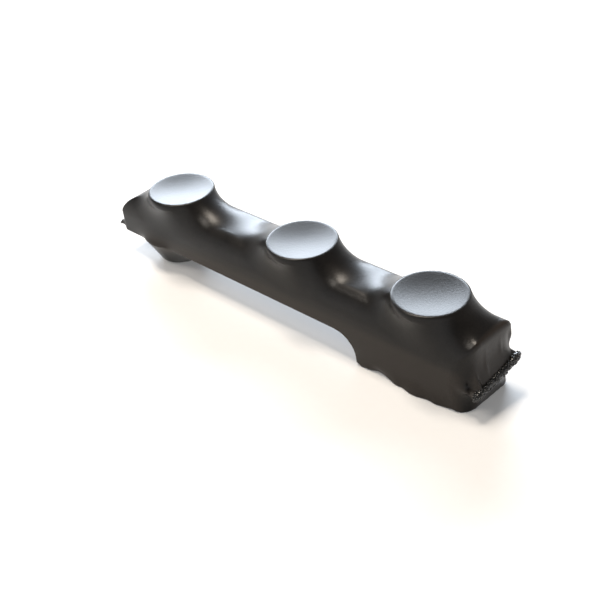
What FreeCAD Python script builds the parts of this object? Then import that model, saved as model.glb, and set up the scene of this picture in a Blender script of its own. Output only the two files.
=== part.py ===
import FreeCAD, Part
import math
import os
from FreeCAD import Vector

# A finger exerciser: a bar on two feet with three spring-loaded finger pads, all inside one
# elastic sleeve that is shrunk tight and pinched shut at both ends.
# Millimetres. +X runs along the bar, +Y across it and +Z up. The origin is on the table,
# under the middle of the object's whole length.

# Stations along the bar
middle_pad_x = 6.5
left_pitch = 71.4
right_pitch = 61.9
left_overhang = 28.25
right_overhang = 22.35

# Spine, the bar that carries everything
spine_width = 22.3
spine_height = 16.3
spine_top_round = 3.15
spine_head_plan_round = 3.0
spine_tail_plan_round = 5.6
spine_nose_round = 9.0
spine_tail_round = 1.2
end_draft = 1.75
end_sweep_drop = 1.2
end_sweep_run = 3.2
end_sweep_round = 3.0

# Feet
foot_height = 12.0
foot_block_length = 47.3
foot_cove_step = 1.1
cove_nose = 0.6
foot_edge_bevel = 0.6
stud_offset = 8.6
stud_radius = 7.2
stud_head_inset = 0.25
stud_root = 0.5

# Sleeve, the elastic tube over everything
sleeve_wall = 1.2
sleeve_clearance = 0.15
sleeve_edge_bevel = 1.1
neck_run = 9.4
neck_sweep = 2.2
neck_rises = [0.0, 0.35, 1.0]
neck_root_depth = 5.5
neck_root_inset = 0.7
neck_toe_sink = 0.3
shoulder_step = 0.2
lip_reach_left = 3.1
lip_reach_right = 5.47
lip_height_left = 15.4
lip_height_right = 13.6
lip_inset = 0.6
lip_root_height = 2.25
lip_root_round = 2.2
seal_thickness = 0.6
seal_bead_height = 2.4
seal_bead_reach = 0.9
seal_bead_round = 0.5

# Finger pads
pad_rise = 6.65
pad_radius = 13.35
pad_rim_height = 1.0
pad_thickness = 2.9
pad_underside_radius = 9.5
pad_key_radius = 2.8
pad_key_sides = 6
rim_bevel = 0.8
dish_depth = 0.8
dish_slope_run = 2.4
travel = 3.0

# Plungers, bushes and springs
plunger_radius = 7.0
plunger_wall = 1.5
plunger_roof = 3.0
collar_radius = 8.0
collar_height = 2.4
bush_wall = 2.0
bush_depth = 6.0
spring_radius = 4.6
spring_wire = 0.9
spring_turns = 5
spring_steps_per_turn = 8
spring_wire_sides = 5

# Dowels that hold the feet
dowel_radius = 1.5
dowel_reach = 9.0
stud_dowel_offset = 14.0
block_dowel_inset = 7.2

# How far a cutting shape runs past what it cuts, and how near two levels are to be the same
spare = 1.0
same_level = 0.01
shortest_edge = 1e-6

# Fits
running_clearance = 0.06
bore_clearance = 0.3
stop_clearance = 0.05
seat_clearance = 0.05

# Levels and stations that follow from the sizes above
skin = sleeve_clearance + sleeve_wall
foot_bottom = skin
spine_bottom = foot_bottom + foot_height
spine_top = spine_bottom + spine_height
pad_top = spine_top + pad_rise
pad_rim_bottom = pad_top - pad_rim_height
pad_bottom = pad_top - pad_thickness
bush_bottom = spine_top - bush_depth
collar_top = bush_bottom - stop_clearance
collar_bottom = collar_top - collar_height
bore_floor = collar_bottom - travel - stop_clearance
roof_bottom = pad_bottom - plunger_roof
split_level = spine_top + skin + shoulder_step

pad_stations = {
    "left": middle_pad_x - left_pitch,
    "middle": middle_pad_x,
    "right": middle_pad_x + right_pitch,
}
spine_left = pad_stations["left"] - left_overhang
spine_right = pad_stations["right"] + right_overhang
spine_right_top = spine_right + end_draft
block_left = spine_right - foot_block_length
cove_radius = foot_height - foot_cove_step
stud_x = pad_stations["left"] - stud_offset
stud_head_radius = spine_width / 2 - stud_head_inset
plunger_bore_radius = plunger_radius + running_clearance
bush_radius = plunger_bore_radius + bush_wall
collar_bore_radius = collar_radius + bore_clearance
dowel_stations = [
    pad_stations["left"] - stud_dowel_offset,
    block_left + block_dowel_inset,
    spine_right - block_dowel_inset,
]


def rounded_outline(corners, to_point):
    """A closed face from corners given as (a, b, radius); to_point places (a, b) in space."""
    count = len(corners)
    starts = []
    ends = []
    middles = []
    for i in range(count):
        a, b, radius = corners[i]
        corner = Vector(a, b, 0)
        before = Vector(corners[i - 1][0], corners[i - 1][1], 0) - corner
        after = Vector(corners[(i + 1) % count][0], corners[(i + 1) % count][1], 0) - corner
        before.normalize()
        after.normalize()
        half_angle = before.getAngle(after) / 2
        run = radius / math.tan(half_angle)
        bisector = (before + after).normalize()
        starts.append(corner + before * run)
        ends.append(corner + after * run)
        middles.append(corner + bisector * (radius / math.sin(half_angle) - radius))
    edges = []
    for i in range(count):
        if corners[i][2] > 0:
            arc = Part.Arc(to_point(starts[i]), to_point(middles[i]), to_point(ends[i]))
            edges.append(arc.toShape())
        following = starts[(i + 1) % count]
        if ends[i].distanceToPoint(following) > shortest_edge:
            edges.append(Part.makeLine(to_point(ends[i]), to_point(following)))
    return Part.Face(Part.Wire(edges))


def side_prism(corners, half_width):
    """A side outline in X and Z, stretched across the bar."""
    face = rounded_outline(corners, lambda p: Vector(p.x, -half_width, p.y))
    return face.extrude(Vector(0, 2 * half_width, 0))


def length_prism(corners, start, end):
    """A cross-section in Y and Z, stretched along the bar."""
    face = rounded_outline(corners, lambda p: Vector(start, p.x, p.y))
    return face.extrude(Vector(end - start, 0, 0))


def plan_prism(corners, low, high):
    """A plan outline in X and Y, stretched upwards."""
    face = rounded_outline(corners, lambda p: Vector(p.x, p.y, low))
    return face.extrude(Vector(0, 0, high - low))


def turned(x, y, corners):
    """A round part with a vertical axis at (x, y), from its half outline in radius and height."""
    face = rounded_outline(corners, lambda p: Vector(x + p.x, y, p.y))
    return face.revolve(Vector(x, y, 0), Vector(0, 0, 1), 360)


def disc(x, radius, low, high):
    return Part.makeCylinder(radius, high - low, Vector(x, 0, low))


def pad_dish(top, rim):
    """The half outline of a pad's hollow top, from its sharp rim down to its flat floor."""
    return [(rim, top, 0), (rim - dish_slope_run, top - dish_depth, 0), (0, top - dish_depth, 0)]


def key_prism(x, radius, low, high):
    """An upright prism that keys a pad to its plunger."""
    points = []
    for i in range(pad_key_sides + 1):
        turn = 2 * math.pi * i / pad_key_sides
        points.append(Vector(x + radius * math.cos(turn), radius * math.sin(turn), low))
    return Part.Face(Part.makePolygon(points)).extrude(Vector(0, 0, high - low))


def bar_body(grow, side_corners):
    """A stretch of bar: its cross-section, trimmed by its plan and then by its side outline."""
    half = spine_width / 2 + grow
    low = foot_bottom - grow
    high = spine_top + grow
    left = spine_left - grow
    right = spine_right_top + grow
    tail_round = spine_tail_plan_round + grow
    head_round = spine_head_plan_round + grow
    plan = [(left, -half, tail_round), (right, -half, head_round)]
    plan += [(right, half, head_round), (left, half, tail_round)]
    top_round = spine_top_round + grow
    section = [(-half, low - spare, 0), (half, low - spare, 0)]
    section += [(half, high, top_round), (-half, high, top_round)]
    body = length_prism(section, left - spare, right + spare)
    body = body.common(plan_prism(plan, low - spare, high + spare))
    return body.common(side_prism(side_corners, half + spare)).Solids[0]


def end_face_x(level):
    """Where the spine's right end face stands at a height: upright, then leaning out."""
    return spine_right + end_draft * max(0.0, level - spine_bottom) / spine_height


def lower_edges(body, half, bottom):
    """The edges under the bar along both flanks, and those round the foot's underside."""
    chosen = []
    for edge in body.Edges:
        box = edge.BoundBox
        on_flank = abs(abs(box.YMin) - half) < same_level and box.YLength < same_level
        under_bar = on_flank and box.ZMax < spine_bottom + same_level
        if under_bar or box.ZMax < bottom + same_level:
            chosen.append(edge)
    return chosen


def neck(x, grow, bevel):
    """The sleeve's trumpet between the bar and a pad: ovals that close in to the pad's rim."""
    half = spine_width / 2
    inset = grow - neck_root_inset
    ovals = [(spine_top - neck_root_depth, pad_radius + neck_run + inset, half + inset)]
    toe = spine_top + grow - neck_toe_sink
    for rise in neck_rises:
        level = toe + rise * (pad_rim_bottom - toe)
        along = pad_radius + grow * rise + neck_run * (1 - rise) ** neck_sweep
        across = half + grow + rise * (pad_radius - half)
        ovals.append((level, along, min(along, across)))
    wires = []
    for level, along, across in ovals:
        oval = Part.Ellipse(Vector(x, 0, level), along, across)
        wires.append(Part.Wire(oval.toShape()))
    trumpet = Part.makeLoft(wires, True, True)
    rim = pad_radius + grow
    top = pad_top + grow
    corners = [(0, pad_rim_bottom, 0), (rim, pad_rim_bottom, 0)]
    if bevel > 0:
        corners.append((rim, top - bevel, 0))
    corners += pad_dish(top, rim - bevel)
    return trumpet.fuse(turned(x, 0, corners))


def stud_form(grow, bevel, root):
    """The round left foot, flared where it meets the bar and carried up into it by a root."""
    bottom = foot_bottom - grow
    foot = stud_radius + grow
    corners = [(0, bottom, 0), (foot - bevel, bottom, 0)]
    if bevel > 0:
        corners.append((foot, bottom + bevel, 0))
    flare_level = foot_bottom + foot_height / 2
    corners += [(foot, flare_level, 0), (stud_head_radius + grow, spine_bottom, 0)]
    if root > 0:
        corners += [(stud_head_radius + grow, spine_bottom + root, 0)]
    corners += [(0, spine_bottom + root, 0)]
    return turned(stud_x, 0, corners)


def lip(face_x, way, height, reach, grow, overrun):
    """A pinched end of the sleeve, standing out from an end face; way is -1 or +1 along X."""
    half = seal_thickness / 2 + grow - sleeve_clearance
    root = half + lip_root_height
    tip = face_x + way * (reach + overrun)
    inner = face_x - way * 2 * lip_root_height
    corners = [(inner, height + root, 0), (face_x, height + root, 0)]
    corners += [(face_x, height + half, lip_root_round), (tip, height + half, 0)]
    corners += [(tip, height - half, 0), (face_x, height - half, lip_root_round)]
    corners += [(face_x, height - root, 0), (inner, height - root, 0)]
    if grow <= sleeve_clearance:
        corners = [(inner, height - half, 0), (tip, height - half, 0)]
        corners += [(tip, height + half, 0), (inner, height + half, 0)]
    return side_prism(corners, spine_width / 2 + grow - lip_inset)


def skin_form(grow, overrun):
    """The whole form under the sleeve, grown by a thickness on every side."""
    bottom = foot_bottom - grow
    under = spine_bottom - grow
    top = spine_top + grow
    left = spine_left - grow
    right = spine_right + grow
    foot = block_left - grow
    corners = [(left, top, spine_nose_round + grow), (left, lip_height_left - end_sweep_drop, 0)]
    corners += [(left + end_sweep_run, under, end_sweep_round)]
    corners += [(foot, under, cove_radius - grow)]
    corners += [(foot, bottom, 0), (right, bottom, 0), (right, spine_bottom, 0)]
    corners += [(spine_right_top + grow, top, spine_tail_round + grow)]
    body = bar_body(grow, corners)
    edge_bevel = 0.0
    top_bevel = 0.0
    if grow > sleeve_clearance:
        edge_bevel = sleeve_edge_bevel
        top_bevel = rim_bevel
        body = body.makeChamfer(edge_bevel, lower_edges(body, spine_width / 2 + grow, bottom))
    right_face = end_face_x(lip_height_right) + grow
    parts = [stud_form(grow, edge_bevel, stud_root)]
    parts += [lip(left, -1, lip_height_left, lip_reach_left, grow, overrun)]
    parts += [lip(right_face, 1, lip_height_right, lip_reach_right, grow, overrun)]
    for x in pad_stations.values():
        parts.append(neck(x, grow, top_bevel))
    return body.fuse(parts).removeSplitter()


def only_solid(shape):
    """The single solid that a cut or a fuse has left."""
    if len(shape.Solids) != 1:
        raise ValueError("expected one solid, found %d" % len(shape.Solids))
    return shape.Solids[0]


def above_shoulder(x, run):
    """The space over the sleeve's flat shoulder, out to a distance on either side of x."""
    corner = Vector(x - run, -run, split_level)
    return Part.makeBox(2 * run, 2 * run, pad_top, corner)


def make_sleeve():
    """The tube round the bar and both feet, open where each pad stands through it."""
    above = above_shoulder(0, spine_right_top - spine_left)
    outside = only_solid(skin_form(skin, 0.0))
    cavity = only_solid(skin_form(sleeve_clearance, sleeve_wall + spare))
    return only_solid(outside.cut(above).cut(cavity.cut(above)))


def make_membrane(x):
    """The sleeve's neck and top skin over one pad, from the shoulder upwards."""
    above = above_shoulder(x, pad_radius + neck_run + skin)
    outside = neck(x, skin, rim_bevel).common(above)
    return only_solid(outside.cut(neck(x, sleeve_clearance, 0.0).common(above)))


def dowel(x, clearance):
    """A dowel that stands half in a foot and half in the spine, or the hole that it fits."""
    reach = dowel_reach + clearance
    return disc(x, dowel_radius + clearance, spine_bottom - reach, spine_bottom + reach)


def make_spine():
    """The moulded bar, with a stepped bore under each pad."""
    corners = [(spine_left, spine_top, spine_nose_round)]
    corners += [(spine_left, lip_height_left - end_sweep_drop, 0)]
    corners += [(spine_left + end_sweep_run, spine_bottom, end_sweep_round)]
    corners += [(spine_right, spine_bottom, 0), (spine_right_top, spine_top, spine_tail_round)]
    cuts = []
    for x in pad_stations.values():
        cuts.append(disc(x, collar_bore_radius, bore_floor, spine_top + spare))
        cuts.append(disc(x, bush_radius + seat_clearance, bush_bottom, spine_top + spare))
    for x in dowel_stations:
        cuts.append(dowel(x, seat_clearance))
    return only_solid(bar_body(0.0, corners).cut(cuts).removeSplitter())


def make_foot_block():
    """The long right foot; its inner end is a cove that runs out in a thin nose under the bar."""
    cove_left = block_left - cove_radius
    over = spine_bottom + spare
    corners = [(cove_left - spare, over, 0), (cove_left - spare, spine_bottom, 0)]
    corners += [(block_left, spine_bottom, cove_radius), (block_left, foot_bottom, 0)]
    corners += [(spine_right, foot_bottom, 0), (spine_right, over, 0)]
    block = bar_body(0.0, corners)
    nose_run = math.sqrt(cove_radius ** 2 - (cove_radius - cove_nose) ** 2)
    corner = Vector(cove_left + nose_run, -spine_width, foot_bottom - spare)
    keep = Part.makeBox(2 * foot_block_length, 2 * spine_width, foot_height + spare, corner)
    block = block.common(keep).Solids[0]
    underside = [edge for edge in block.Edges if edge.BoundBox.ZMax < foot_bottom + same_level]
    block = block.makeChamfer(foot_edge_bevel, underside)
    holes = [dowel(x, seat_clearance) for x in dowel_stations[1:]]
    return only_solid(block.cut(holes))


def make_foot_stud():
    """The round left foot, flared to the bar, with its dowel's hole in the flare."""
    return only_solid(stud_form(0.0, 0.0, 0.0).cut(dowel(dowel_stations[0], seat_clearance)))


def make_foot_dowels():
    """The dowels that hold both feet to the spine."""
    return [dowel(x, 0.0) for x in dowel_stations]


def make_guide_bush(x):
    """The liner that guides a plunger and stops its collar."""
    bush = disc(x, bush_radius, bush_bottom, spine_top)
    bore = disc(x, plunger_bore_radius, bush_bottom - spare, spine_top + spare)
    return only_solid(bush.cut(bore))


def make_plunger(x):
    """A cup that hangs from the pad, with a collar that the bush stops at rest."""
    inner = plunger_radius - plunger_wall
    corners = [(inner, collar_bottom, 0), (collar_radius, collar_bottom, 0)]
    corners += [(collar_radius, collar_top, 0), (plunger_radius, collar_top, 0)]
    corners += [(plunger_radius, pad_bottom, 0), (0, pad_bottom, 0)]
    corners += [(0, roof_bottom, 0), (inner, roof_bottom, 0)]
    key_hole = pad_key_radius + seat_clearance
    keyway = key_prism(x, key_hole, roof_bottom - spare, pad_bottom + spare)
    return only_solid(turned(x, 0, corners).cut(keyway))


def make_finger_pad(x):
    """The dished disc that a fingertip presses, with the key that seats it in its plunger."""
    corners = [(0, pad_bottom, 0), (pad_underside_radius, pad_bottom, 0)]
    corners += [(pad_radius, pad_rim_bottom, 0)]
    corners += pad_dish(pad_top, pad_radius)
    key = key_prism(x, pad_key_radius, roof_bottom, pad_bottom)
    return only_solid(turned(x, 0, corners).fuse(key))


def make_spring(x):
    """A compression spring between the bore's floor and the plunger's roof."""
    wire_radius = spring_wire / 2
    low = bore_floor + wire_radius
    rise = roof_bottom - wire_radius - low
    steps = spring_turns * spring_steps_per_turn
    sections = []
    for i in range(steps + 1):
        turn = 2 * math.pi * i / spring_steps_per_turn
        points = []
        for k in range(spring_wire_sides + 1):
            around = 2 * math.pi * k / spring_wire_sides
            reach = spring_radius + wire_radius * math.sin(around)
            height = low + rise * i / steps + wire_radius * math.cos(around)
            points.append(Vector(x + reach * math.cos(turn), reach * math.sin(turn), height))
        sections.append(Part.makePolygon(points))
    return only_solid(Part.makeLoft(sections, True, True))


def make_end_seal(face_x, way, height, reach):
    """The melted adhesive in a pinched end: a thin web with a bead at its mouth."""
    half = seal_thickness / 2
    bead_half = seal_bead_height / 2
    root = face_x + way * sleeve_clearance
    tip = face_x + way * reach
    bead = tip + way * seal_bead_reach
    corners = [(root, height - half, 0), (tip, height - half, 0)]
    corners += [(tip, height - bead_half, 0), (bead, height - bead_half, seal_bead_round)]
    corners += [(bead, height + bead_half, seal_bead_round), (tip, height + bead_half, 0)]
    corners += [(tip, height + half, 0), (root, height + half, 0)]
    return side_prism(corners, spine_width / 2 - lip_inset)


def build():
    """Every sub-part by its node's name."""
    left_reach = lip_reach_left + skin
    right_reach = lip_reach_right + skin
    right_face = end_face_x(lip_height_right)
    parts = {
        "sleeve": make_sleeve(),
        "spine": make_spine(),
        "foot_block": make_foot_block(),
        "foot_stud": make_foot_stud(),
        "foot_dowels": Part.makeCompound(make_foot_dowels()),
        "end_seal_left": make_end_seal(spine_left, -1, lip_height_left, left_reach),
        "end_seal_right": make_end_seal(right_face, 1, lip_height_right, right_reach),
    }
    for side, x in pad_stations.items():
        parts["pad_membrane_" + side] = make_membrane(x)
        parts["finger_pad_" + side] = make_finger_pad(x)
        parts["plunger_" + side] = make_plunger(x)
        parts["guide_bush_" + side] = make_guide_bush(x)
        parts["spring_" + side] = make_spring(x)
    return parts


os.makedirs("parts", exist_ok=True)
for name, shape in build().items():
    shape.exportStep("parts/" + name + ".step")
    print(name, shape.isValid(), len(shape.Solids), round(shape.Volume, 1))
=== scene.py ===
import math

import bmesh
import bpy
import numpy as np
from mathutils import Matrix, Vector


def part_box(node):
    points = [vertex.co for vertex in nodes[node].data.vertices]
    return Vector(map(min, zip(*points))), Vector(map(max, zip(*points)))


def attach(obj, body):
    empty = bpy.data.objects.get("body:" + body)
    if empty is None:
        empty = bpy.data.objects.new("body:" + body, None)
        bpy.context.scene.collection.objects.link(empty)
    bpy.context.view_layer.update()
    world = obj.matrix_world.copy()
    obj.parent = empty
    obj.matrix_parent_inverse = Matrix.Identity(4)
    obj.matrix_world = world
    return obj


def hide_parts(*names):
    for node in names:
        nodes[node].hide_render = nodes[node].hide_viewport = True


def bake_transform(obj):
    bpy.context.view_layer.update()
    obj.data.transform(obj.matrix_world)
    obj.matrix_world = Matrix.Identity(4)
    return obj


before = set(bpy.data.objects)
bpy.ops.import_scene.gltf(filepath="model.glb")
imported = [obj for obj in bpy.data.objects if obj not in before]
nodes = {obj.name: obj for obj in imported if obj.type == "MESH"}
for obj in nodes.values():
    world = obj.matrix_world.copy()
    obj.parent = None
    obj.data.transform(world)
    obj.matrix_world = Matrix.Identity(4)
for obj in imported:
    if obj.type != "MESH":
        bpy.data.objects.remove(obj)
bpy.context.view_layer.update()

scene = bpy.context.scene
scene.view_settings.view_transform = "Standard"

# Camera
# It looks down from three-quarter height, off the exerciser's right end and on its near side,
# through a short long-focus lens.
camera = bpy.data.objects.new("camera", bpy.data.cameras.new("camera"))
scene.collection.objects.link(camera)
scene.camera = camera
camera.location = (0.2304, -0.2222, 0.2393)
camera.rotation_euler = (math.radians(53.617), math.radians(4.992), math.radians(42.159))
camera.data.lens = 56.956
camera.data.sensor_width = 36.0
camera.data.clip_start = 0.01
camera.data.clip_end = 20.0

# Sleeve
# One tube of black elastomer over the bar, both feet and the three pads. Heat has shrunk it
# tight, so it runs straight across every hollow, and both of its ends are pinched flat.
# Its sizes are in millimetres, and are those of its outer face. The near side has negative Y.
millimetre = 0.001
pad_centres = {"left": -64.9, "middle": 6.5, "right": 68.4}
pad_edge_radius = 14.7
pad_crown = 37.65
pad_edge_depth = 2.6
pad_edge_round = 0.9
pad_taper = 0.8
pad_hollow = 0.95
pad_rim = 0.8
hollow_power = 1.2
bush_cover_radius = 9.9
bush_cover_top = 30.4
bush_cover_low = 15.0
bush_cover_round = 1.0
bar_half_width = 12.5
bar_top = 31.0
bar_underside = 12.0
bar_left_face = -97.2
bar_right_face = 92.6
bar_right_lean = 0.1
bar_right_skew = 0.07
right_top_round = 2.4
left_under_round = 3.0
far_edge_round = 4.5
near_edge_round = 7.5
near_edge_drop = 10.5
under_edge_round = 0.7
nose_round = 14.5
left_corner_round = 3.0
near_corner_round = 7.0
far_corner_round = 2.5
foot_left = 41.7
foot_end_profile = [[0.0, 93.4], [8.0, 93.0], [12.0, 92.4]]
foot_flare = 0.8
foot_flare_height = 5.0
foot_overlap = 2.0
cove_radius = 10.0
stud_centre = -73.5
stud_foot_radius = 8.5
stud_flare = 6.0
stud_flare_from = 0.5
stud_edge_round = 2.0
web_half_width = 8.0
web_edge_round = 2.5
web_steepness = 0.75
web_rise = [[-68.0, 0.6], [-61.0, 4.0], [-54.0, 8.5], [-47.0, 12.0]]
lip_tips = {"left": -98.5, "right": 96.9}
lip_levels = {"left": 14.8, "right": 13.0}
lip_tilts = {"left": 0.0, "right": 0.26}
lip_skews = {"left": 0.0, "right": 0.11}
lip_half_widths = {"left": 12.4, "right": 12.4}
lip_half_thickness = 1.1
lip_flat_run = 1.9
lip_join_run = 1.5
wall = 1.2
lip_wall = 0.8
lip_wall_run = 4.0
slack = 0.3
slack_underside = [[-88, 12], [-83, 0], [-64, 0], [-58, 12], [28, 12], [44, 0]]
first_rings = 55
first_points = 32
shrink_steps = [220, 160, 120, 90]
pull_along = 1.3
pull_around = 1.0
waist_pull = 2.5
waist_run = 8.0
waists = [-29.2, 37.45]


def rounded_edge(a, b, radius):
    """Distance to a solid's rounded edge, from the distances a and b to its two faces."""
    outside = np.hypot(np.maximum(a + radius, 0.0), np.maximum(b + radius, 0.0))
    return outside + np.minimum(np.maximum(a, b) + radius, 0.0) - radius


def clearance(points):
    """How far points stand clear of the bar, the feet and the pads under the sleeve."""
    x, y, z = points[..., 0], points[..., 1], points[..., 2]
    flank = np.abs(y) - bar_half_width
    over = z - bar_top
    under = bar_underside - z
    left = bar_left_face - x
    lean = bar_right_lean * np.maximum(z - bar_underside, 0.0)
    right = x - bar_right_face - lean - bar_right_skew * y
    corner_round = np.where(x < 0, left_corner_round, near_corner_round)
    corner_round = np.where((x > 0) & (y > 0), far_corner_round, corner_round)
    near = y < 0
    edge_round = np.where(near, near_edge_round, far_edge_round)
    shoulder = np.where(near, near_edge_round / near_edge_drop, 1.0) * over
    bar = np.maximum.reduce([
        rounded_edge(shoulder, flank, edge_round),
        rounded_edge(over, left, nose_round),
        rounded_edge(over, right, right_top_round),
        rounded_edge(flank, left, corner_round),
        rounded_edge(flank, right, corner_round),
        rounded_edge(under, flank, under_edge_round),
        rounded_edge(under, left, left_under_round),
    ])
    cove_x = foot_left - cove_radius
    cove_z = bar_underside - cove_radius
    cove = cove_radius - np.hypot(x - cove_x, np.maximum(z - cove_z, 0.0))
    cove = np.where(x < cove_x, np.maximum(cove, cove_x - x), cove)
    foot_flank = flank - foot_flare * np.clip(1.0 - z / foot_flare_height, 0.0, 1.0) ** 2
    end_z, end_x = np.array(foot_end_profile).T
    foot_end = x - np.interp(z, end_z, end_x) - bar_right_skew * y
    buried = z - bar_underside - foot_overlap
    foot = np.maximum.reduce([
        rounded_edge(-z, foot_flank, under_edge_round),
        rounded_edge(-z, cove, under_edge_round),
        rounded_edge(-z, foot_end, under_edge_round),
        rounded_edge(foot_flank, foot_end, corner_round),
        buried,
    ])
    flare = stud_flare * np.clip(z - stud_flare_from, 0.0, None) / (bar_underside - stud_flare_from)
    stud_side = np.hypot(x - stud_centre, y) - stud_foot_radius - flare
    stud = np.maximum(rounded_edge(stud_side, -z, stud_edge_round), buried)
    web_x, web_z = np.array(web_rise).T
    web_under = web_steepness * (np.interp(x, web_x, web_z) - z)
    web = np.maximum.reduce([
        rounded_edge(np.abs(y) - web_half_width, web_under, web_edge_round),
        stud_centre - x,
        x - web_x[-1],
        buried,
    ])
    clear = np.minimum.reduce([bar, foot, stud, web])
    for centre in pad_centres.values():
        under_edge = np.maximum(pad_crown - pad_edge_depth - z, 0.0)
        side = np.hypot(x - centre, y) - pad_edge_radius + pad_taper * under_edge
        clear = np.minimum(clear, rounded_edge(side, z - pad_crown, pad_edge_round))
        side = np.hypot(x - centre, y) - bush_cover_radius
        bush = rounded_edge(side, z - bush_cover_top, bush_cover_round)
        clear = np.minimum(clear, np.maximum(bush, bush_cover_low - z))
    return clear


def keep_outside(points):
    """Points that have sunk into what is under the sleeve, pushed back out to its face."""
    depth = clearance(points)
    sunk = depth < 0.0
    inside = points[sunk]
    step = 0.02
    slope = np.empty_like(inside)
    for axis in range(3):
        offset = np.zeros(3)
        offset[axis] = step
        slope[:, axis] = clearance(inside + offset) - clearance(inside - offset)
    slope /= np.maximum(np.linalg.norm(slope, axis=1, keepdims=True), 1e-9)
    points[sunk] = inside - depth[sunk][:, None] * slope
    return points


def flat_loop(end, count):
    """The outline of a pinched end: two flat layers with round edges, from the middle below."""
    straight = lip_half_widths[end] - lip_half_thickness
    bend = math.pi * lip_half_thickness
    run = np.arange(count) / count * (4 * straight + 2 * bend)
    places = np.array([0, straight, straight + bend, 3 * straight + bend,
                       3 * straight + 2 * bend, 4 * straight + 2 * bend])
    loop = np.zeros((count, 3))
    on_first = (run > places[1]) & (run < places[2])
    on_second = (run > places[3]) & (run < places[4])
    turn = np.where(on_first, (run - places[1]) / lip_half_thickness, 0.0)
    turn = np.where(on_second, math.pi + (run - places[3]) / lip_half_thickness, turn)
    turn = np.where((run >= places[2]) & (run <= places[3]), math.pi, turn)
    across = np.interp(run, places, [0, straight, straight, -straight, -straight, 0])
    loop[:, 1] = across + lip_half_thickness * np.sin(turn)
    loop[:, 0] = lip_tips[end] + lip_skews[end] * loop[:, 1]
    loop[:, 2] = lip_levels[end] - lip_half_thickness * np.cos(turn) + lip_tilts[end] * loop[:, 1]
    return loop


def slack_loop(x, count):
    """The tube's outline at x before it shrinks: an upright rectangle clear of everything."""
    under_x, under_z = np.array(slack_underside).T
    low = np.interp(x, under_x, under_z) - slack
    high = pad_crown + slack
    half = pad_edge_radius + slack
    corners_y = [0, half, half, -half, -half, 0]
    corners_z = [low, low, high, high, low, low]
    sides = np.hypot(np.diff(corners_y), np.diff(corners_z))
    places = np.concatenate([[0], np.cumsum(sides)])
    run = np.arange(count) / count * places[-1]
    loop = np.full((count, 3), float(x))
    loop[:, 1] = np.interp(run, places, corners_y)
    loop[:, 2] = np.interp(run, places, corners_z)
    return loop


def slack_tube(rings, count):
    """The whole tube before it shrinks, ring by ring from the left lip to the right one."""
    tube = np.zeros((rings, count, 3))
    for i, x in enumerate(np.linspace(lip_tips["left"], lip_tips["right"], rings)):
        end = "left" if x < 0 else "right"
        face = bar_left_face + lip_join_run if x < 0 else bar_right_face - lip_join_run
        share = np.clip((x - face) / (lip_tips[end] - face), 0.0, 1.0)
        lip = flat_loop(end, count)
        tube[i] = (1 - share) * slack_loop(x, count) + share * lip
        tube[i, :, 0] = x + share * (lip[:, 0] - lip_tips[end])
    return tube


def shrink(tube, steps, spacing):
    """The tube after its skin has pulled itself straight, ring to ring and round each ring."""
    held = int(lip_flat_run / spacing) + 1
    station = tube[1:-1, :, 0].mean(axis=1)[:, None, None]
    round_pull = pull_around
    for waist in waists:
        round_pull = round_pull + waist_pull * np.exp(-((station - waist) / waist_run) ** 2)
    for _ in range(steps):
        along = tube[:-2] + tube[2:]
        inner = tube[1:-1]
        around = np.roll(inner, 1, axis=1) + np.roll(inner, -1, axis=1)
        pulled = (pull_along * along + round_pull * around) / (2 * (pull_along + round_pull))
        tube[held:-held] = pulled[held - 1:tube.shape[0] - held - 1]
        tube = keep_outside(tube)
    return tube


def finer(tube):
    """The same tube with twice the rings and twice the points in each."""
    doubled = np.empty((2 * tube.shape[0] - 1, tube.shape[1], 3))
    doubled[0::2] = tube
    doubled[1::2] = (tube[:-1] + tube[1:]) / 2
    result = np.empty((doubled.shape[0], 2 * tube.shape[1], 3))
    result[:, 0::2] = doubled
    result[:, 1::2] = (doubled + np.roll(doubled, -1, axis=1)) / 2
    return result


def outward(tube):
    """The outward normal at every point of the tube."""
    along = np.gradient(tube, axis=0)
    around = np.roll(tube, -1, axis=1) - np.roll(tube, 1, axis=1)
    normal = np.cross(around, along)
    return normal / np.maximum(np.linalg.norm(normal, axis=2, keepdims=True), 1e-9)


tube = slack_tube(first_rings, first_points)
length = lip_tips["right"] - lip_tips["left"]
for level, steps in enumerate(shrink_steps):
    if level:
        tube = finer(tube)
    tube = shrink(tube, steps, length / (tube.shape[0] - 1))

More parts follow.
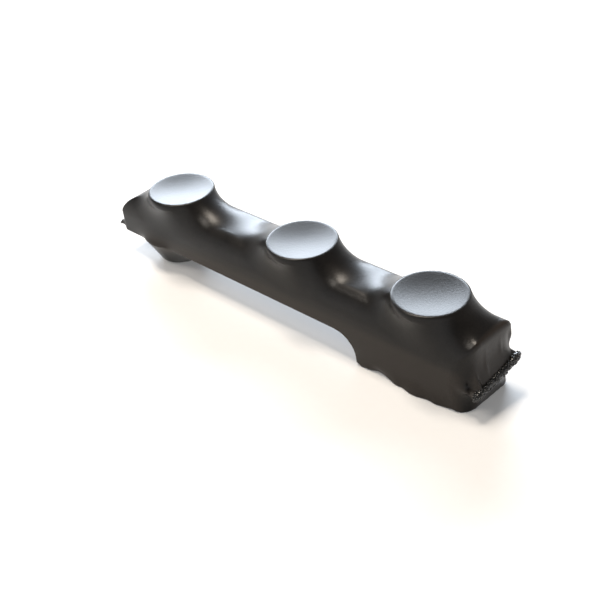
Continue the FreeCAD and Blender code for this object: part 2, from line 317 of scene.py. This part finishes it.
# Where the hot rubber was pinched, folded and trimmed: the middle of each dent or swelling,
# how far it reaches each way, and how far it moves the skin
folds = [
    [(94.8, -11.2, 13.6), (2.8, 1.4, 3.2), (-2.6, 1.4, 0.0)],
    [(94.8, -8.4, 14.6), (2.6, 0.9, 4.5), (1.3, -0.3, 0.0)],
    [(94.0, 1.5, 20.5), (2.6, 7.5, 5.0), (-1.1, 0.0, 0.0)],
    [(94.0, -3.5, 20.0), (2.6, 0.7, 4.5), (0.35, 0.0, 0.0)],
    [(94.0, 4.5, 21.0), (2.6, 0.8, 4.0), (0.3, 0.0, 0.0)],
    [(95.0, 12.2, 22.5), (2.6, 1.5, 4.2), (1.6, 0.3, 0.0)],
    [(96.0, 11.5, 16.8), (2.6, 2.0, 1.3), (-0.8, 0.0, 0.0)],
    [(53.5, -13.0, 0.0), (4.0, 2.0, 2.5), (0.0, 0.9, 0.9)],
    [(62.0, -13.0, 0.0), (2.2, 2.0, 2.5), (0.0, -0.5, 0.0)],
    [(70.0, -13.0, 0.0), (5.0, 2.0, 3.0), (0.0, -1.4, 0.0)],
    [(79.5, -13.0, 0.0), (2.0, 2.0, 2.5), (0.0, -0.5, 0.0)],
    [(86.0, -13.0, 0.0), (2.5, 2.0, 2.5), (0.0, 0.5, 0.3)],
    [(50.0, 13.0, 0.0), (5.0, 2.0, 2.5), (0.0, 0.8, 0.0)],
    [(64.0, 13.0, 0.0), (4.0, 2.0, 2.5), (0.0, -0.6, 0.5)],
    [(80.0, 13.0, 0.0), (5.0, 2.0, 2.5), (0.0, 0.7, 0.0)],
    [(-80.0, -6.0, 1.0), (4.0, 4.0, 3.0), (0.0, -0.7, 0.0)],
]
for middle, spread, push in folds:
    away = (tube - np.array(middle)) / np.array(spread)
    tube += np.exp(-np.sum(away ** 2, axis=2))[..., None] * np.array(push)

# The tops of the pads are hollowed for the fingertips, inside a plain rim
hollow_skin = 1.0
hollow_fade = 0.8
for centre in pad_centres.values():
    reach = np.hypot(tube[..., 0] - centre, tube[..., 1])
    share = np.clip(1.0 - (reach / (pad_edge_radius - pad_rim)) ** 2, 0.0, 1.0)
    top = np.clip((tube[..., 2] - pad_crown + hollow_skin) / hollow_fade, 0.0, 1.0)
    tube[..., 2] -= pad_hollow * share ** hollow_power * top

skin_normals = outward(tube)
seam_rings = []
for split in waists:
    at_split = np.abs(tube[:, :, 0].mean(axis=1) - split).argmin()
    seam_rings.append(int(at_split))


def sleeve_piece(name, first, last):
    """A stretch of the sleeve as a closed wall, from one ring to another."""
    outer = tube[first:last + 1]
    normal = skin_normals[first:last + 1]
    reach = np.minimum(outer[..., 0] - lip_tips["left"], lip_tips["right"] - outer[..., 0])
    depth = lip_wall + (wall - lip_wall) * np.clip(reach / lip_wall_run, 0.0, 1.0)
    inner = outer - normal * depth[..., None]
    rings, count = outer.shape[:2]
    ring = np.arange(rings)[:, None] * count
    spot = np.arange(count)[None, :]
    here = (ring + spot)[:-1]
    beside = (ring + (spot + 1) % count)[:-1]
    skin = np.stack([here, beside, beside + count, here + count], axis=-1).reshape(-1, 4)
    lining = skin[:, ::-1] + rings * count
    first_rim = np.stack([beside[0], here[0], here[0] + rings * count,
                          beside[0] + rings * count], axis=-1)
    last_rim = first_rim[:, ::-1] + (rings - 1) * count
    faces = np.concatenate([skin, lining, first_rim, last_rim])
    points = np.concatenate([outer.reshape(-1, 3), inner.reshape(-1, 3)]) * millimetre
    mesh = bpy.data.meshes.new(name)
    mesh.from_pydata(points.tolist(), [], faces.tolist())
    mesh.shade_smooth()
    normals = np.concatenate([normal.reshape(-1, 3), -normal.reshape(-1, 3)])
    mesh.normals_split_custom_set_from_vertices(normals.tolist())
    piece = bpy.data.objects.new(name, mesh)
    scene.collection.objects.link(piece)
    return piece


def feed(tree, made, feeds):
    """Gives a node's inputs plain values, or links them to other nodes' outputs."""
    for place, value in feeds.items():
        if isinstance(value, bpy.types.NodeSocket):
            tree.links.new(value, made.inputs[place])
        else:
            made.inputs[place].default_value = value


def add(tree, kind, feeds, **settings):
    """A new node with its settings made and its inputs fed."""
    made = tree.nodes.new(kind)
    for label, value in settings.items():
        setattr(made, label, value)
    feed(tree, made, feeds)
    return made


def new_look(name):
    """A new material, its node tree and its shader."""
    look = bpy.data.materials.new(name)
    look.use_nodes = True
    return look, look.node_tree, look.node_tree.nodes["Principled BSDF"]


# The rubber is black and softly shining, with fine grain and faint patches. A lighter brown is
# painted low on its flanks as a painted reflection of the lit table, and over its right end.
rubber_tones = [(0.3, (0.0045, 0.0040, 0.0038, 1)), (0.75, (0.012, 0.0105, 0.0095, 1))]
painted_reflection_tone = (0.026, 0.021, 0.0175, 1)
rubber, tree, shader = new_look("sleeve_rubber")
place = add(tree, "ShaderNodeTexCoord", {}).outputs["Object"]
grain = add(tree, "ShaderNodeTexNoise", {"Vector": place, "Scale": 1500.0, "Detail": 3.0})
patches = add(tree, "ShaderNodeTexNoise",
              {"Vector": place, "Scale": 90.0, "Detail": 5.0, "Roughness": 0.65})
tone = add(tree, "ShaderNodeValToRGB", {"Fac": patches.outputs["Fac"]})
for stop, (position, colour) in zip(tone.color_ramp.elements, rubber_tones):
    stop.position = position
    stop.color = colour
spot = add(tree, "ShaderNodeSeparateXYZ", {"Vector": place}).outputs
low = add(tree, "ShaderNodeMapRange",
          {"Value": spot["Z"], "From Min": 0.0205, "From Max": 0.0155},
          interpolation_type="SMOOTHSTEP")
side_on = add(tree, "ShaderNodeMath", {0: spot["Y"]}, operation="ABSOLUTE")
flat_side = add(tree, "ShaderNodeMapRange",
                {"Value": side_on.outputs["Value"], "From Min": 0.0105, "From Max": 0.0122})
# Painted reflection: a mask for the low flanks and the right end, which get a lighter brown
painted_reflection_mask = add(tree, "ShaderNodeMath",
           {0: low.outputs["Result"], 1: flat_side.outputs["Result"]}, operation="MULTIPLY")
for start, full, operation in ((-0.092, -0.068, "MULTIPLY"), (0.0918, 0.0936, "MAXIMUM")):
    along = add(tree, "ShaderNodeMapRange",
                {"Value": spot["X"], "From Min": start, "From Max": full})
    painted_reflection_mask = add(tree, "ShaderNodeMath",
               {0: painted_reflection_mask.outputs["Value"], 1: along.outputs["Result"]}, operation=operation)
# The painted reflection's lighter brown is mixed into the rubber's own tone
painted_reflection = add(tree, "ShaderNodeMix",
            {"Factor": painted_reflection_mask.outputs["Value"], "A": tone.outputs["Color"], "B": painted_reflection_tone},
            data_type="RGBA")
sheen_range = add(tree, "ShaderNodeMapRange",
                  {"Value": patches.outputs["Fac"], "To Min": 0.26, "To Max": 0.36})
bump = add(tree, "ShaderNodeBump",
           {"Height": grain.outputs["Fac"], "Strength": 0.12, "Distance": 0.0004})
feed(tree, shader, {
    "Base Color": painted_reflection.outputs["Result"],
    "Specular IOR Level": 0.22,
    "Roughness": sheen_range.outputs["Result"],
    "Normal": bump.outputs["Normal"],
})

# The sleeve is cut at its two waists into three pieces, one round each pad
cuts = [0] + seam_rings + [tube.shape[0] - 1]
for i, side in enumerate(pad_centres):
    piece = sleeve_piece("sleeve_" + side, cuts[i], cuts[i + 1])
    piece.data.materials.append(rubber)
    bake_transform(piece)
    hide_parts("sleeve", "pad_membrane_" + side)

# Bar
# The stiff moulded bar inside the sleeve, with a bored seat for each pad's bush. Its near
# shoulder is rounded off in a long curve under the rubber, so a fingertip rolls over it.
roughness_spread = 0.08


def finish(name, dark, light, grain, shine, roughness, relief, metal=0.0):
    """A finish mottled between two colours, with its grain in the roughness and the relief."""
    look, tree, shader = new_look(name)
    place = add(tree, "ShaderNodeTexCoord", {})
    stretch = add(tree, "ShaderNodeMapping", {"Vector": place.outputs["Object"], "Scale": grain})
    speckle = add(tree, "ShaderNodeTexNoise",
                  {"Vector": stretch.outputs["Vector"], "Scale": 1.0, "Detail": 4.0})
    share = speckle.outputs["Fac"]
    mottle = add(tree, "ShaderNodeMix",
                 {"Factor": share, "A": (*dark, 1), "B": (*light, 1)}, data_type="RGBA")
    worn = add(tree, "ShaderNodeMapRange", {
        "Value": share,
        "To Min": roughness - roughness_spread, "To Max": roughness + roughness_spread,
    })
    bump = add(tree, "ShaderNodeBump", {"Height": share, "Strength": 0.3, "Distance": relief})
    feed(tree, shader, {
        "Base Color": mottle.outputs["Result"],
        "Metallic": metal,
        "Specular IOR Level": shine,
        "Roughness": worn.outputs["Result"],
        "Normal": bump.outputs["Normal"],
    })
    return look


def dress(piece, look):
    """Gives every face of a piece one finish."""
    if not piece.material_slots:
        piece.data.materials.append(look)
    for slot in piece.material_slots:
        slot.material = look


weld_distance = 0.000001
corner_cut_at = (0.0893, -0.0092, 0.0)
corner_cut_facing = (0.7071, -0.7071, 0.0)


def trimmed(name, node):
    """A merged copy of a node, with the corner under the sleeve's fold cut away."""
    mesh = nodes[node].data.copy()
    piece = bpy.data.objects.new(name, mesh)
    scene.collection.objects.link(piece)
    solid = bmesh.new()
    solid.from_mesh(mesh)
    bmesh.ops.remove_doubles(solid, verts=solid.verts, dist=weld_distance)
    everything = solid.verts[:] + solid.edges[:] + solid.faces[:]
    bmesh.ops.bisect_plane(solid, geom=everything, plane_co=corner_cut_at,
                           plane_no=corner_cut_facing, clear_outer=True)
    open_edges = [edge for edge in solid.edges if edge.is_boundary]
    bmesh.ops.holes_fill(solid, edges=open_edges)
    solid.to_mesh(mesh)
    solid.free()
    return piece


nylon = finish("bar_nylon", (0.56, 0.53, 0.47), (0.66, 0.64, 0.58),
               (900, 300, 900), 0.45, 0.55, 0.00004)
bar_piece = trimmed("bar", "spine")

# What stands above the long curve of the near shoulder is pressed down onto it
cover = 1.35
centre_y = near_edge_round - bar_half_width
centre_z = bar_top - near_edge_drop
for corner in bar_piece.data.vertices:
    across = corner.co.y / millimetre - centre_y
    above = corner.co.z / millimetre - centre_z
    if across < 0 and above > 0:
        reach = math.hypot(across / (near_edge_round - cover), above / (near_edge_drop - cover))
        if reach > 1:
            corner.co.y = millimetre * (centre_y + across / reach)
            corner.co.z = millimetre * (centre_z + above / reach)
dress(bar_piece, nylon)
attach(bar_piece, "root")
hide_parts("spine")

# Feet
# A long block under the right end and a round stud under the left one, moulded in a greyer
# nylon. Steel dowels that stand half in the bar hold both.
foot_nylon = finish("foot_nylon", (0.44, 0.43, 0.40), (0.54, 0.53, 0.50),
                    (800, 800, 800), 0.45, 0.58, 0.00005)
dowel_steel = finish("dowel_steel", (0.48, 0.48, 0.50), (0.60, 0.60, 0.62),
                     (2500, 2500, 300), 0.5, 0.3, 0.00001, metal=1.0)
long_foot = trimmed("long_foot", "foot_block")
dress(long_foot, foot_nylon)
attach(long_foot, "root")
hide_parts("foot_block")
dress(nodes["foot_stud"], foot_nylon)
dress(nodes["foot_dowels"], dowel_steel)

# Finger pads, plungers and bushes
# Each pad is a dished disc of grey nylon, keyed onto a hollow acetal plunger, which slides in
# a turned brass bush seated in the bar.
pad_nylon = finish("pad_nylon", (0.26, 0.27, 0.29), (0.34, 0.35, 0.37),
                   (700, 700, 700), 0.45, 0.5, 0.00004)
acetal = finish("plunger_acetal", (0.80, 0.79, 0.75), (0.88, 0.87, 0.83),
                (500, 500, 1600), 0.5, 0.32, 0.00001)
brass = finish("bush_brass", (0.62, 0.46, 0.20), (0.78, 0.61, 0.31),
               (400, 400, 6000), 0.5, 0.3, 0.00001, metal=1.0)
for side in pad_centres:
    dress(nodes["finger_pad_" + side], pad_nylon)
    dress(nodes["plunger_" + side], acetal)
    dress(nodes["guide_bush_" + side], brass)

# Springs
# A compression spring under each plunger, coiled from bright steel wire with its ends left
# open.
def node_group(name, numbers, vectors):
    """An empty Geometry Nodes tree with named inputs, a material and a geometry output."""
    tree = bpy.data.node_groups.new(name, "GeometryNodeTree")
    for label in numbers:
        tree.interface.new_socket(label, in_out="INPUT", socket_type="NodeSocketFloat")
    for label in vectors:
        tree.interface.new_socket(label, in_out="INPUT", socket_type="NodeSocketVector")
    tree.interface.new_socket("Material", in_out="INPUT", socket_type="NodeSocketMaterial")
    tree.interface.new_socket("Geometry", in_out="OUTPUT", socket_type="NodeSocketGeometry")
    return tree, tree.nodes.new("NodeGroupInput").outputs


def close_group(tree, shape, sizes):
    """Ends a tree: the shape is smoothed, made real and given its material."""
    smooth = add(tree, "GeometryNodeSetShadeSmooth", {"Geometry": shape})
    real = add(tree, "GeometryNodeRealizeInstances", {"Geometry": smooth.outputs["Geometry"]})
    dressed = add(tree, "GeometryNodeSetMaterial",
                  {"Geometry": real.outputs["Geometry"], "Material": sizes["Material"]})
    add(tree, "NodeGroupOutput", {"Geometry": dressed.outputs["Geometry"]})


def grown(name, tree, values):
    """The plain mesh object that a tree makes from its input values."""
    seed = bpy.data.objects.new(name + "_seed", bpy.data.meshes.new(name + "_seed"))
    scene.collection.objects.link(seed)
    maker = seed.modifiers.new("maker", "NODES")
    maker.node_group = tree
    for item in tree.interface.items_tree:
        if item.in_out == "INPUT":
            maker[item.identifier] = values[item.name]
    ready = seed.evaluated_get(bpy.context.evaluated_depsgraph_get())
    piece = bpy.data.objects.new(name, bpy.data.meshes.new_from_object(ready))
    scene.collection.objects.link(piece)
    bpy.data.objects.remove(seed)
    return piece


spring_wire = 0.0009
spring_turns = 5.5
coil, sizes = node_group("coil_spring", ["Radius", "Wire Radius", "Turns", "Height"], ["Foot"])
helix = add(coil, "GeometryNodeCurveSpiral", {
    "Resolution": 40, "Rotations": sizes["Turns"], "Start Radius": sizes["Radius"],
    "End Radius": sizes["Radius"], "Height": sizes["Height"],
})
stood = add(coil, "GeometryNodeTransform",
            {"Geometry": helix.outputs["Curve"], "Translation": sizes["Foot"]})
section = add(coil, "GeometryNodeCurvePrimitiveCircle",
              {"Resolution": 12, "Radius": sizes["Wire Radius"]})
drawn = add(coil, "GeometryNodeCurveToMesh", {
    "Curve": stood.outputs["Geometry"], "Profile Curve": section.outputs["Curve"],
    "Fill Caps": True,
})
close_group(coil, drawn.outputs["Mesh"], sizes)

spring_steel = finish("spring_steel", (0.52, 0.52, 0.54), (0.66, 0.66, 0.68),
                      (3000, 3000, 900), 0.5, 0.26, 0.00001, metal=1.0)
for side in pad_centres:
    low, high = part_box("spring_" + side)
    foot = (millimetre * pad_centres[side], 0.0, low[2] + spring_wire / 2)
    spring = grown("coil_" + side, coil, {
        "Radius": (high[1] - low[1] - spring_wire) / 2, "Wire Radius": spring_wire / 2,
        "Turns": spring_turns, "Height": high[2] - low[2] - spring_wire,
        "Foot": foot, "Material": spring_steel,
    })
    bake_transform(spring)
    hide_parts("spring_" + side)

# End seals
# A bead of black hot-melt adhesive along each pinched mouth of the sleeve. It squeezed out as
# the rubber shrank and set in glossy grains.
bead, sizes = node_group("adhesive_bead", ["Radius", "Lumps", "Grain", "Seed"], ["Start", "End"])
line = add(bead, "GeometryNodeCurvePrimitiveLine", {"Start": sizes["Start"], "End": sizes["End"]})
stations = add(bead, "GeometryNodeResampleCurve",
               {"Curve": line.outputs["Curve"], "Count": 110})
taper = add(bead, "GeometryNodeSplineParameter", {}).outputs["Factor"]

# The bead is full along its middle and rounds off at both ends: the root of 1 - |2t - 1|^12
for operation, second, third in (("MULTIPLY_ADD", 2.0, -1.0), ("ABSOLUTE", 0.0, 0.0),
                                 ("POWER", 12.0, 0.0), ("MULTIPLY_ADD", -1.0, 1.0),
                                 ("POWER", 0.5, 0.0), ("MAXIMUM", 0.2, 0.0)):
    term = add(bead, "ShaderNodeMath", {0: taper, 1: second, 2: third}, operation=operation)
    taper = term.outputs["Value"]
section = add(bead, "GeometryNodeCurvePrimitiveCircle",
              {"Resolution": 22, "Radius": sizes["Radius"]})
rod = add(bead, "GeometryNodeCurveToMesh", {
    "Curve": stations.outputs["Curve"], "Profile Curve": section.outputs["Curve"],
    "Scale": taper, "Fill Caps": True,
})

# Noise swells and dents the bead along its normals
ripple = add(bead, "ShaderNodeTexNoise", {"Scale": 420.0, "Detail": 4.0})
centred = add(bead, "ShaderNodeMath", {0: ripple.outputs["Fac"], 1: 0.5}, operation="SUBTRACT")
swell = add(bead, "ShaderNodeMath",
            {0: centred.outputs["Value"], 1: sizes["Lumps"]}, operation="MULTIPLY")
facing = add(bead, "GeometryNodeInputNormal", {})
shift = add(bead, "ShaderNodeVectorMath",
            {0: facing.outputs["Normal"], "Scale": swell.outputs["Value"]}, operation="SCALE")
lumpy = add(bead, "GeometryNodeSetPosition",
            {"Geometry": rod.outputs["Mesh"], "Offset": shift.outputs["Vector"]})

# Grains of several sizes are stuck all over it
spots = add(bead, "GeometryNodeDistributePointsOnFaces",
            {"Mesh": lumpy.outputs["Geometry"], "Density": 1600000.0, "Seed": sizes["Seed"]})
grain = add(bead, "GeometryNodeMeshIcoSphere", {"Subdivisions": 2, "Radius": sizes["Grain"]})
spread = add(bead, "FunctionNodeRandomValue", {2: 0.45, 3: 1.25, "Seed": sizes["Seed"]})
grains = add(bead, "GeometryNodeInstanceOnPoints", {
    "Points": spots.outputs["Points"], "Instance": grain.outputs["Mesh"],
    "Scale": spread.outputs[1],
})
both = add(bead, "GeometryNodeJoinGeometry", {"Geometry": lumpy.outputs["Geometry"]})
feed(bead, both, {"Geometry": grains.outputs["Instances"]})
close_group(bead, both.outputs["Geometry"], sizes)

adhesive = finish("set_adhesive", (0.006, 0.006, 0.006), (0.016, 0.015, 0.014),
                  (1500, 1500, 1500), 0.6, 0.17, 0.0001)
bead_radii = {"left": 0.9, "right": 1.55}
bead_grains = {"left": 0.25, "right": 0.38}
bead_lumps = 1.2
grain_seed = 7.0
for end in lip_tips:
    tips = []
    for across in (-lip_half_widths[end], lip_half_widths[end]):
        x = lip_tips[end] + lip_skews[end] * across
        z = lip_levels[end] + lip_tilts[end] * across
        tips.append((millimetre * x, millimetre * across, millimetre * z))
    seal = grown("adhesive_" + end, bead, {
        "Radius": millimetre * bead_radii[end], "Lumps": millimetre * bead_lumps,
        "Grain": millimetre * bead_grains[end], "Seed": grain_seed,
        "Start": tips[0], "End": tips[1], "Material": adhesive,
    })
    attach(seal, "root")
    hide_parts("end_seal_" + end)

# Floor and backdrop
# A pale table top, and walls that are white low down and dim overhead. The floor's own glow
# only shows to the eye and in gloss, and fades down round the object to keep its shadow.
room_light = 0.18
floor_half = 3.0
floor_mesh = bpy.data.meshes.new("floor")
floor_corners = [(-floor_half, -floor_half, 0), (floor_half, -floor_half, 0),
                 (floor_half, floor_half, 0), (-floor_half, floor_half, 0)]
floor_mesh.from_pydata(floor_corners, [], [(0, 1, 2, 3)])
floor = bpy.data.objects.new("floor", floor_mesh)
scene.collection.objects.link(floor)


def seen_directly(tree):
    """One for rays from the camera, off a gloss or through glass, and nought for the rest."""
    path = add(tree, "ShaderNodeLightPath", {})
    total = path.outputs["Is Camera Ray"]
    for kind in ("Is Glossy Ray", "Is Transmission Ray"):
        either = add(tree, "ShaderNodeMath", {0: total, 1: path.outputs[kind]},
                     operation="MAXIMUM")
        total = either.outputs["Value"]
    return total


pale, tree, shader = new_look("table_top")
place = add(tree, "ShaderNodeTexCoord", {}).outputs["Object"]
fibres = add(tree, "ShaderNodeTexNoise", {"Vector": place, "Scale": 300.0})
paper = add(tree, "ShaderNodeMix", {
    "Factor": fibres.outputs["Fac"],
    "A": (0.635, 0.632, 0.63, 1), "B": (0.655, 0.652, 0.65, 1),
}, data_type="RGBA")
away = add(tree, "ShaderNodeVectorMath", {0: place}, operation="LENGTH")
glow = add(tree, "ShaderNodeMapRange", {
    "Value": away.outputs["Value"], "From Min": 0.16, "From Max": 1.2,
    "To Min": 0.16, "To Max": 1.0,
}, interpolation_type="SMOOTHSTEP")
shown = add(tree, "ShaderNodeMath", {0: seen_directly(tree), 1: glow.outputs["Result"]},
            operation="MULTIPLY")
feed(tree, shader, {
    "Base Color": paper.outputs["Result"],
    "Roughness": 0.8,
    "Emission Color": (1.0, 1.0, 1.0, 1),
    "Emission Strength": shown.outputs["Value"],
})
floor.data.materials.append(pale)

world = bpy.data.worlds.new("room")
scene.world = world
world.use_nodes = True
tree = world.node_tree
direction = add(tree, "ShaderNodeTexCoord", {}).outputs["Generated"]
heading = add(tree, "ShaderNodeSeparateXYZ", {"Vector": direction})
walls = add(tree, "ShaderNodeMapRange", {
    "Value": heading.outputs["Z"], "From Min": 0.55, "From Max": 0.30,
    "To Min": room_light, "To Max": 1.0,
}, interpolation_type="SMOOTHSTEP")
level = add(tree, "ShaderNodeMix", {
    "Factor": seen_directly(tree), "A": room_light, "B": walls.outputs["Result"],
}, data_type="FLOAT")
feed(tree, tree.nodes["Background"], {"Color": (1, 1, 1, 1), "Strength": level.outputs["Result"]})


def soft_lamp(name, place, aim, width, height, power, colour):
    """A rectangular lamp at place that faces aim."""
    lamp = bpy.data.objects.new(name, bpy.data.lights.new(name, "AREA"))
    scene.collection.objects.link(lamp)
    lamp.data.shape = "RECTANGLE"
    lamp.data.size = width
    lamp.data.size_y = height
    lamp.data.energy = power
    lamp.data.color = colour
    lamp.location = place
    lamp.rotation_euler = (Vector(aim) - Vector(place)).to_track_quat("-Z", "Y").to_euler()
    return lamp


lamp_aim = (0, 0, 0.02)
soft_lamp("window", (-1.57, 1.62, 0.98), lamp_aim, 1.9, 1.0, 120.0, (0.80, 0.89, 1.0))
soft_lamp("warm_lamp", (-0.30, 0.00, 1.30), lamp_aim, 0.42, 0.42, 17.0, (1.0, 0.90, 0.78))
soft_lamp("side_lamp", (-0.35, -0.62, 1.05), lamp_aim, 0.45, 0.45, 5.5, (1.0, 0.93, 0.84))
